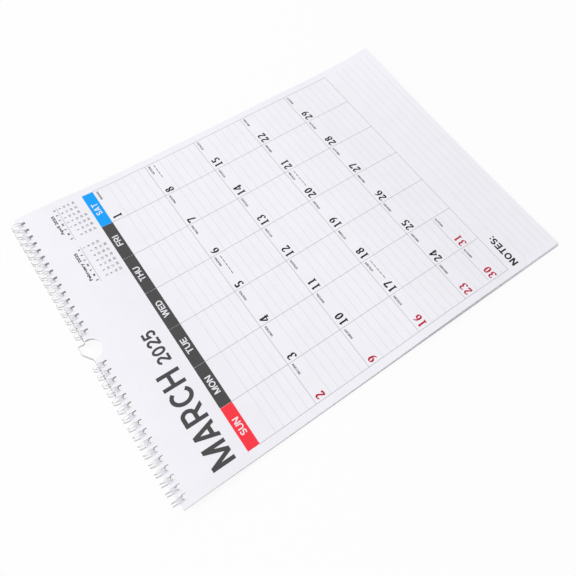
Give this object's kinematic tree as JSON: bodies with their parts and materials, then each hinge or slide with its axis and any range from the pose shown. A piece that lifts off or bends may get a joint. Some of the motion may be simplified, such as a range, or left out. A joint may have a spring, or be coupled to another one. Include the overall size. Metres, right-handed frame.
{
  "type": "wall calendar",
  "caption": "Wire-bound monthly wall calendar lying on its back: a block of printed month sheets on a card backing board, twin-loop binding wires and a bent-wire hanger in a thumb cut.",
  "frame": {"origin": "centre of the footprint, in the plane on which the backing board lies", "axes": "+X across the sheet from the Sunday side to the Saturday side, +Y towards the binding and the hanger, +Z away from the table"},
  "size_m": [0.3048, 0.427, 0.0128],
  "materials": {
    "page_paper": "matte",
    "backing_card": "matte",
    "binding_wire": "satin",
    "hanger_wire": "satin",
    "red_ink": "matte",
    "grey_ink": "matte",
    "blue_ink": "matte",
    "line_ink": "matte",
    "rule_ink": "matte",
    "dark_ink": "matte",
    "crimson_ink": "matte",
    "small_ink": "matte"
  },
  "bodies": {
    "board_and_wires": {"back_board": "backing_card", "wire_left": "binding_wire", "wire_right": "binding_wire"},
    "sheets": {"month_sheets": "page_paper", "print_sunday_band": "red_ink", "print_weekday_bands": "grey_ink", "print_saturday_band": "blue_ink", "print_grid": "line_ink", "print_rules": "rule_ink", "print_title": "grey_ink", "print_dates": "dark_ink", "print_red_dates": "crimson_ink", "print_notes_heading": "grey_ink", "print_small_months": "small_ink", "print_day_marks": "small_ink"},
    "hanger_wire": {"hanger": "hanger_wire"}
  },
  "joints": [
    {"name": "sheets_turn", "type": "hinge", "parent": "board_and_wires", "child": "sheets", "pos_m": [0, 0.20638, 0.0055], "axis": [-1, 0, 0], "range_deg": [0, 180]},
    {"name": "hanger_swing", "type": "hinge", "parent": "board_and_wires", "child": "hanger_wire", "pos_m": [0, 0.20738, 0.00194], "axis": [1, 0, 0], "range_deg": [-152, 28]}
  ]
}
